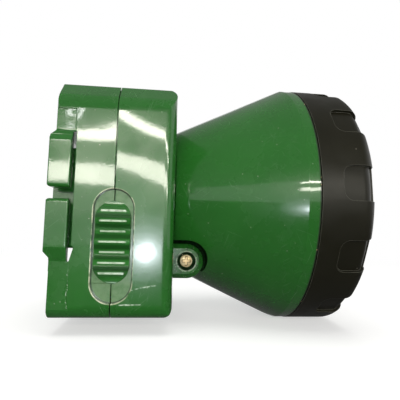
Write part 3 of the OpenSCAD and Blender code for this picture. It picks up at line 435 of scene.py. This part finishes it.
def knob_plastic(name, shine):
    """The knob: painted shade in the valleys between its grip ribs, and painted highlights on their
    crests.
    """
    p = Paint(name)
    wave = p.math("COSINE", p.times(p.minus(p.axis(2), KNOB_Z), 2 * pi / RIB_PITCH))
    side = p.size(p.axis(1))
    outer = p.span(side, *KNOB_OUT)
    # Painted shade in the valleys, and a painted highlight on the middle of each crest.
    valley_shade = p.both(p.span(wave, 0.4, -0.6), outer)
    crest_highlight = p.both(p.span(wave, 0.80, 0.92), p.span(side, *KNOB_CREST),
                   p.span(p.size(p.minus(p.axis(0), SEAM_X)), 4.1, 3.7),
                   p.patches(1.6, 4.0, 0.30, 0.50, 0.45, 1.0))
    edge, soft = p.edge(0.25)
    rubbed = p.both(edge, p.patches(1.3, 4.0, 0.4, 0.65, 0.0, 0.4))
    cloud = p.patches(9, 3.0, 0.3, 0.7)
    colour = p.mix(cloud, (0.0160, 0.118, 0.0150), (0.0210, 0.140, 0.0190))
    colour = p.coat(colour, valley_shade, 0.85, (0.0050, 0.045, 0.0050))
    colour = p.coat(colour, crest_highlight, 0.75, (0.60, 0.72, 0.56))
    colour = p.mix(rubbed, colour, (0.09, 0.25, 0.09))
    rough = p.plus(p.patches(3, 4.0, 0.3, 0.7, 0.18, 0.28),
                   p.times(p.both(outer, p.span(crest_highlight, 0.5, 0.0)), 0.25))
    normal = p.bump(p.noise(0.8), 0.003, soft)
    return p.finish({"Base Color": colour, "Roughness": rough, "Normal": normal, "IOR": 1.5,
                     "Specular IOR Level": shine, "Coat Weight": shine, "Coat Roughness": 0.08,
                     "Coat Normal": normal})


def satin_black(name):
    """The bezel: satin moulded plastic with a fine spark grain, and edges painted lighter as a
    highlight with rubbed wear.
    """
    p = Paint(name)
    cloud = p.patches(18, 4.0, 0.3, 0.7)
    edge, soft = p.edge(0.25, gain=9.0)
    rub_and_highlight = p.times(edge, p.patches(2.2, 4.0, 0.3, 0.6, 0.45, 1.0))
    dust = p.specks(3.0, 0.06, 0.3)
    colour = p.mix(cloud, (0.0080, 0.0076, 0.0038), (0.0115, 0.0108, 0.0058))
    # Painted highlight along the edges, with rubbed wear in it.
    colour = p.coat(colour, rub_and_highlight, 0.75, (0.16, 0.16, 0.13))
    colour = p.coat(colour, dust, 0.5, (0.35, 0.33, 0.28))
    rough = p.plus(p.patches(5, 4.0, 0.3, 0.7, 0.33, 0.44), p.times(rub_and_highlight, -0.12))
    return p.finish({"Base Color": colour, "Roughness": rough,
                     "Normal": p.bump(p.noise(0.35), 0.006, soft),
                     "IOR": 1.46, "Specular IOR Level": 0.3})


def metal(name, dark, bright, rough, lines=(1, 1, 1)):
    """Bare or plated metal with drawn or turned lines and brighter edges."""
    p = Paint(name)
    stain = p.patches(1.8, 4.0, 0.35, 0.7)
    edge, soft = p.edge(0.12)
    colour = p.mix(stain, dark, bright)
    colour = p.coat(colour, edge, 0.5, tuple(min(1.0, c * 1.25) for c in bright))
    return p.finish({"Base Color": colour,
                     "Roughness": p.patches(0.9, 3.0, 0.3, 0.7, rough * 0.75, rough * 1.35),
                     "Normal": p.bump(p.noise(0.5, stretch=lines), 0.003, soft),
                     "Metallic": 1.0})


def dull(name, dark, pale, rough, grain, depth, level=0.4):
    """Rubber, sleeves and other non-shiny matter, told apart by their grain."""
    p = Paint(name)
    cloud = p.patches(6.0, 4.0, 0.3, 0.7)
    edge, soft = p.edge(0.2)
    colour = p.mix(cloud, dark, pale)
    colour = p.coat(colour, edge, 0.3, tuple(min(1.0, c * 1.8 + 0.02) for c in pale))
    return p.finish({"Base Color": colour,
                     "Roughness": p.patches(3.0, 3.0, 0.3, 0.7, rough - 0.06, rough + 0.06),
                     "Normal": p.bump(p.noise(grain, detail=3.0), depth, soft),
                     "Specular IOR Level": level})


def foam(name):
    """Closed-cell sheet: a mosaic of small pits."""
    p = Paint(name)
    distance, colour = p.cells(0.7)
    shade = p.mix(p.span(distance, 0.1, 0.6), (0.030, 0.030, 0.032), (0.075, 0.075, 0.078))
    return p.finish({"Base Color": shade, "Roughness": p.span(colour, 0.0, 1.0, 0.8, 0.95),
                     "Normal": p.bump(distance, 0.15)})


def circuit_board(name):
    """Green solder mask over paler copper tracks that run in two directions."""
    p = Paint(name)
    across = p.scratches(1.1, 14, 0, 0.50, 0.52)
    up = p.scratches(1.3, 14, 90, 0.54, 0.56, shift=4.0)
    copper = p.most(across, up)
    colour = p.mix(copper, (0.006, 0.070, 0.018), (0.018, 0.150, 0.040))
    colour = p.mix(p.specks(2.1, 0.16, 0.35), colour, (0.62, 0.62, 0.58))
    return p.finish({"Base Color": colour, "Roughness": p.patches(3, 2.0, 0.3, 0.7, 0.22, 0.36),
                     "Normal": p.bump(copper, 0.03)})


def wound_wire(name):
    """The board's coil: a dark body with paler grey turns."""
    p = Paint(name)
    turns = p.node("TexWave", {"Vector": p.place, "Scale": 700.0, "Distortion": 0.6, "Detail": 1.0},
                   bands_direction="Z").outputs["Fac"]
    colour = p.mix(turns, (0.030, 0.030, 0.033), (0.16, 0.15, 0.15))
    return p.finish({"Base Color": colour, "Roughness": p.span(turns, 0.0, 1.0, 0.6, 0.35),
                     "Normal": p.bump(turns, 0.08)})


def see_through(name, tint, rough, grain, depth, ior=1.5, wear=0.0):
    """Clear or coloured moulded plastic, scratched where it has wear."""
    p = Paint(name)
    streaks = p.scratches(0.15, 8, 25, 0.70, 0.78)
    haze = p.patches(9, 4.0, 0.35, 0.75, rough, rough + 0.03)
    colour = p.mix(p.patches(14, 2.0, 0.3, 0.7), tint, tuple(c * 0.97 for c in tint))
    return p.finish({"Base Color": colour, "Roughness": p.plus(haze, p.times(streaks, wear)),
                     "Normal": p.bump(p.noise(grain), depth), "IOR": ior,
                     "Transmission Weight": 1.0})


def mirror_film(name):
    """Vacuum-metallised plastic: bright, with a slight orange peel and a few dull spots."""
    p = Paint(name)
    stain = p.patches(5, 4.0, 0.4, 0.8)
    return p.finish({"Base Color": p.mix(stain, (0.90, 0.91, 0.92), (0.86, 0.87, 0.88)),
                     "Roughness": p.patches(3, 3.0, 0.35, 0.75, 0.02, 0.06), "Metallic": 1.0,
                     "Normal": p.bump(p.noise(2.5), 0.003)})


def phosphor(name):
    """The yellow conversion layer of the light-emitting diode."""
    p = Paint(name)
    colour = p.mix(p.patches(0.3, 3.0, 0.3, 0.7), (0.80, 0.55, 0.06), (0.86, 0.66, 0.12))
    return p.finish({"Base Color": colour, "Roughness": p.patches(0.5, 2.0, 0.3, 0.7, 0.45, 0.6),
                     "Normal": p.bump(p.noise(0.15), 0.01)})


# One material for each slot of the record, apart from green_shell, whose three nodes each have
# one of their own in NODE_PAINT.
SLOT_PAINT = {
    "green_knob": knob_plastic("green_knob", 0.6),
    "bezel_plastic": satin_black("bezel_plastic"),
    "plated_screw": metal("plated_screw", (0.42, 0.43, 0.42), (0.68, 0.68, 0.65), 0.30),
    "brass_screw": screw_brass("brass_screw"),
    "black_rubber": dull("black_rubber", (0.010, 0.010, 0.010), (0.022, 0.022, 0.021),
                         0.62, 0.5, 0.01),
    "foam": foam("foam"),
    "cell_wrap": dull("cell_wrap", (0.02, 0.08, 0.30), (0.03, 0.11, 0.36),
                      0.28, 3.0, 0.03, level=0.5),
    "nickel_strip": metal("nickel_strip", (0.46, 0.45, 0.42), (0.66, 0.65, 0.61), 0.28,
                          lines=(1, 1, 12)),
    "board_green": circuit_board("board_green"),
    "black_part": dull("black_part", (0.012, 0.012, 0.013), (0.022, 0.022, 0.023),
                       0.45, 0.4, 0.006),
    "grey_coil": wound_wire("grey_coil"),
    "capacitor": dull("capacitor", (0.012, 0.016, 0.05), (0.02, 0.026, 0.07),
                      0.32, 2.0, 0.02, level=0.5),
    "white_plastic": dull("white_plastic", (0.66, 0.66, 0.62), (0.76, 0.76, 0.72),
                          0.40, 0.6, 0.004),
    "contact_metal": metal("contact_metal", (0.62, 0.60, 0.55), (0.80, 0.78, 0.72), 0.20),
    "red_light": see_through("red_light", (0.85, 0.05, 0.03), 0.10, 1.0, 0.01),
    "lead_insulation": dull("lead_insulation", (0.40, 0.02, 0.015), (0.50, 0.035, 0.02),
                            0.40, 1.5, 0.01),
    "sink_metal": metal("sink_metal", (0.46, 0.47, 0.48), (0.66, 0.67, 0.68), 0.36,
                        lines=(1, 8, 1)),
    "led_board_white": dull("led_board_white", (0.74, 0.74, 0.71), (0.82, 0.82, 0.80),
                            0.42, 0.8, 0.006),
    "led_ceramic": phosphor("led_ceramic"),
    "led_lens": see_through("led_lens", (1.0, 0.96, 0.80), 0.02, 0.5, 0.002, ior=1.42),
    "mirror_film": mirror_film("mirror_film"),
    "lens_clear": see_through("lens_clear", (0.97, 0.985, 0.98), 0.01, 12.0, 0.02, wear=0.25),
}
NODE_PAINT = {
    "case_rear": green_plastic("green_case_rear", rear_sink, 2.0, case_marks),
    "case_front": green_plastic("green_case_front", front_sink, 3.0, front_marks),
    "head_shell": green_plastic("green_head", head_barrel, 9.0, head_marks,
                                haze=0.28, peel=0.0015),
}


# ---------------------------------------------------------------- skins
# Which body each skinned node rides on.
SKINS = {"case_rear": "case", "case_front": "case", "head_shell": "head",
         "slide_knob": "knob", "bezel_ring": "bezel"}
CREASE = radians(20)


def hinge_reach(x, z):
    return sqrt((x - HINGE[0]) ** 2 + (z - HINGE[1]) ** 2)


# Which faces of a node get its second paint. Each takes the face's middle, with side its distance
# from the middle of the lamp, and facing the part of its normal that points sideways.
def in_pocket(x, side, z, facing):
    """The head's walls and cheeks around the hinge ears, and its rear wall, which take the painted
    shade.
    """
    wall = 14 < side < 30 and facing < 0.3
    cheek = 15.7 < side < 16.3 and facing > 0.9
    return hinge_reach(x, z) < 9 and (wall or cheek) or x < HEAD_REAR_X


# The screws' seats in the ears, which take the painted shade too.
def in_screw_seat(x, side, z, facing):
    return hinge_reach(x, z) < SEAT_R and side > SEAT[0]


def on_grip(x, side, z, facing):
    return side > 33.0 and GRIP_Z[0] < z < GRIP_Z[1]


# Painted shade: near-black paint on the shadowed walls around the hinge and in the screw seats.
POCKET_SHADE = pocket_shade("pocket_shade")
SECOND_PAINT = {"head_shell": (POCKET_SHADE, in_pocket), "case_front": (POCKET_SHADE, in_screw_seat),
                "slide_knob": (knob_plastic("green_knob_grip", 0.12), on_grip)}


def use(mesh, material):
    mesh.materials.clear()
    mesh.materials.append(material)


def add_skin(node, body, material):
    """The node's own surface again, its normals flat on flat faces and crisp at creases."""
    form = bmesh.new()
    form.from_mesh(nodes[node].data)
    bmesh.ops.remove_doubles(form, verts=form.verts, dist=1e-7)
    form.verts.index_update()
    mesh = bpy.data.meshes.new(node + "_skin")
    mesh.from_pydata([v.co[:] for v in form.verts], [],
                     [[v.index for v in f.verts] for f in form.faces])
    form.free()
    mesh.shade_smooth()
    mesh.set_sharp_from_angle(angle=CREASE)
    use(mesh, material)
    if node in SECOND_PAINT:
        second, chosen = SECOND_PAINT[node]
        mesh.materials.append(second)
        for face in mesh.polygons:
            x, y, z = face.center * 1000 - Vector((DX, 0, DZ))
            if chosen(x, abs(y), z, abs(face.normal.y)):
                face.material_index = 1
    skin = bpy.data.objects.new(node + "_skin", mesh)
    bpy.context.scene.collection.objects.link(skin)
    true = skin.modifiers.new("true_normals", "WEIGHTED_NORMAL")
    true.mode = "FACE_AREA"
    true.weight = 100
    true.keep_sharp = True
    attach(skin, body)
    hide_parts(node)


for part in frame["record"]["subparts"]:
    node, slot = part["node"], part["material_slot"]
    material = NODE_PAINT[node] if node in NODE_PAINT else SLOT_PAINT[slot]
    use(nodes[node].data, material)
    if node in SKINS:
        add_skin(node, SKINS[node], material)


# ---------------------------------------------------------------- stage
# Sheets and cards are in metres.
RING_STEPS = 48
FLOOR_SIZE = 30
FLOOR_FADE = (0.16, 0.60)       # from the frame's origin, where the floor turns to plain white


def ring_mesh(mesh, outer, inner):
    turns = [2 * pi * i / RING_STEPS for i in range(RING_STEPS)]
    rim = [(r * cos(a), r * sin(a), 0) for r in (outer, inner) for a in turns]
    after = [(i + 1) % RING_STEPS for i in range(RING_STEPS)]
    faces = [(i, after[i], RING_STEPS + after[i], RING_STEPS + i) for i in range(RING_STEPS)]
    mesh.from_pydata(rim, [], faces)


def flat_sheet(name, at, width, depth, shader_tree, hole=0.0):
    """A level sheet centred on at, painted by what shader_tree returns; a ring if it has a hole."""
    mesh = bpy.data.meshes.new(name)
    x, y = width / 2, depth / 2
    if hole:
        ring_mesh(mesh, x, hole / 2)
    else:
        mesh.from_pydata([(-x, -y, 0), (x, -y, 0), (x, y, 0), (-x, y, 0)], [], [(0, 1, 2, 3)])
    sheet = bpy.data.objects.new(name, mesh)
    bpy.context.scene.collection.objects.link(sheet)
    sheet.location = at
    material = bpy.data.materials.new(name + "_paint")
    material.use_nodes = True
    material.node_tree.nodes.clear()
    out = material.node_tree.nodes.new("ShaderNodeOutputMaterial")
    material.node_tree.links.new(shader_tree(material.node_tree), out.inputs[0])
    mesh.materials.append(material)
    return sheet


def seen_rays(tree):
    """1 for camera, glossy and transmission rays, so that all of these see the white background."""
    rays = tree.nodes.new("ShaderNodeLightPath")
    total = rays.outputs["Is Camera Ray"]
    for name in ("Is Glossy Ray", "Is Transmission Ray"):
        both = tree.nodes.new("ShaderNodeMath")
        both.operation = "MAXIMUM"
        tree.links.new(total, both.inputs[0])
        tree.links.new(rays.outputs[name], both.inputs[1])
        total = both.outputs[0]
    return total


def glow(tree, strength):
    made = tree.nodes.new("ShaderNodeEmission")
    made.inputs["Strength"].default_value = strength
    return made.outputs[0]


def paint(tree, grey):
    made = tree.nodes.new("ShaderNodeBsdfDiffuse")
    made.inputs["Color"].default_value = (grey, grey, grey, 1)
    return made.outputs[0]


def mixed(tree, kind, sockets):
    made = tree.nodes.new(kind)
    for socket, value in zip(made.inputs, sockets):
        tree.links.new(value, socket)
    return made.outputs[0]


def floor_shader(tree):
    """Pale near the lamp, where it keeps the shadow, and white where it meets the background."""
    near = mixed(tree, "ShaderNodeAddShader", (paint(tree, 0.60), glow(tree, 0.52)))
    place = tree.nodes.new("ShaderNodeNewGeometry").outputs["Position"]
    length = tree.nodes.new("ShaderNodeVectorMath")
    length.operation = "LENGTH"
    tree.links.new(place, length.inputs[0])
    far = tree.nodes.new("ShaderNodeMapRange")
    far.inputs[1].default_value, far.inputs[2].default_value = FLOOR_FADE
    tree.links.new(length.outputs["Value"], far.inputs[0])
    seen = mixed(tree, "ShaderNodeMixShader", (far.outputs[0], near, glow(tree, 1.0)))
    return mixed(tree, "ShaderNodeMixShader", (seen_rays(tree), paint(tree, 0.35), seen))


def card(name, at, width, depth, strength, upright=False, hole=0.0):
    """A board that only reflections see, as a photographer sets one to shade or light a gloss."""
    board = flat_sheet(name, at, width, depth, lambda tree: glow(tree, strength), hole)
    if upright:
        board.rotation_euler = (radians(90), 0, 0)
    for kind in ("camera", "diffuse", "transmission", "shadow", "volume_scatter"):
        setattr(board, "visible_" + kind, False)


def add_world(light):
    """White wherever it is seen, and a plain soft light on the lamp."""
    world = bpy.data.worlds.new("studio")
    bpy.context.scene.world = world
    world.use_nodes = True
    tree = world.node_tree
    tree.nodes.clear()
    out = tree.nodes.new("ShaderNodeOutputWorld")
    sky = tree.nodes.new("ShaderNodeBackground")
    sky.inputs["Color"].default_value = (1, 1, 1, 1)
    level = tree.nodes.new("ShaderNodeMapRange")
    level.inputs[3].default_value = light
    level.inputs[4].default_value = 1.0
    tree.links.new(seen_rays(tree), level.inputs[0])
    tree.links.new(level.outputs[0], sky.inputs["Strength"])
    tree.links.new(sky.outputs[0], out.inputs[0])


# ---------------------------------------------------------------- lights
# Area lamps are placed and sized in millimetres.
LAMP_Y = -634                       # the tubes and the ring stand in this plane
POWER_PER_AREA = 4                  # what makes an area lamp's face shine at radiance 1
TUBE_COLOUR = (1.0, 0.97, 0.86)
FLASH_COLOUR = (0.86, 0.93, 1.0)
FLASH_DISCS = ((9, 20), (14, 9), (20, 4), (28, 2), (38, 1.2), (52, 0.7))    # width, radiance


def area(name, at, target, width, height, radiance, colour=(1, 1, 1), shape="RECTANGLE",
         shines=True):
    """A soft lamp of width x height whose face shines at radiance, where 1 is white."""
    data = bpy.data.lights.new(name, "AREA")
    data.shape = shape
    data.size = width / 1000
    data.size_y = height / 1000
    data.energy = POWER_PER_AREA * radiance * data.size * data.size_y
    data.color = colour
    lamp = bpy.data.objects.new(name, data)
    bpy.context.scene.collection.objects.link(lamp)
    lamp.location = mm(*at)
    lamp.rotation_euler = (mm(*target) - mm(*at)).to_track_quat("-Z", "Y").to_euler()
    lamp.visible_camera = False
    lamp.visible_glossy = shines


flat_sheet("floor", (0, 0, 0), FLOOR_SIZE, FLOOR_SIZE, floor_shader)
card("ceiling_card", (0, 0, 1.0), width=3.0, depth=3.0, strength=0.26)
card("room_card", (0, -1.6, 0.9), width=4.0, depth=1.3, strength=0.26, upright=True)
card("low_card", (0, -0.50, 0.0015), width=1.6, depth=1.06, strength=0.10)
card("ring_card", mm(-140, LAMP_Y, 254), width=0.032, depth=0.032, strength=30.0,
     upright=True, hole=0.021)
card("window_card", mm(-430, LAMP_Y - 10, 30), width=0.36, depth=0.42, strength=1.0,
     upright=True)
add_world(light=0.34)
area("tube_upper", (90, LAMP_Y, 213.5), (90, 0, 213.5), width=680, height=17, radiance=26,
     colour=TUBE_COLOUR)
area("tube_lower", (90, LAMP_Y, 136), (90, 0, 136), width=680, height=36, radiance=16,
     colour=TUBE_COLOUR)
for ring, (size, radiance) in enumerate(FLASH_DISCS):
    area("flash_%d" % ring, (24, -150 - 0.2 * ring, 15), (30, -34, 19), width=size,
         height=size * 0.85, radiance=radiance, colour=FLASH_COLOUR, shape="ELLIPSE")
area("overhead", (40, -150, 700), (35, 0, 36), width=600, height=500, radiance=2.4,
     colour=(1.0, 1.0, 0.97), shines=False)
area("behind", (60, 800, 300), (35, 0, 36), width=700, height=500, radiance=1.2, shines=False)
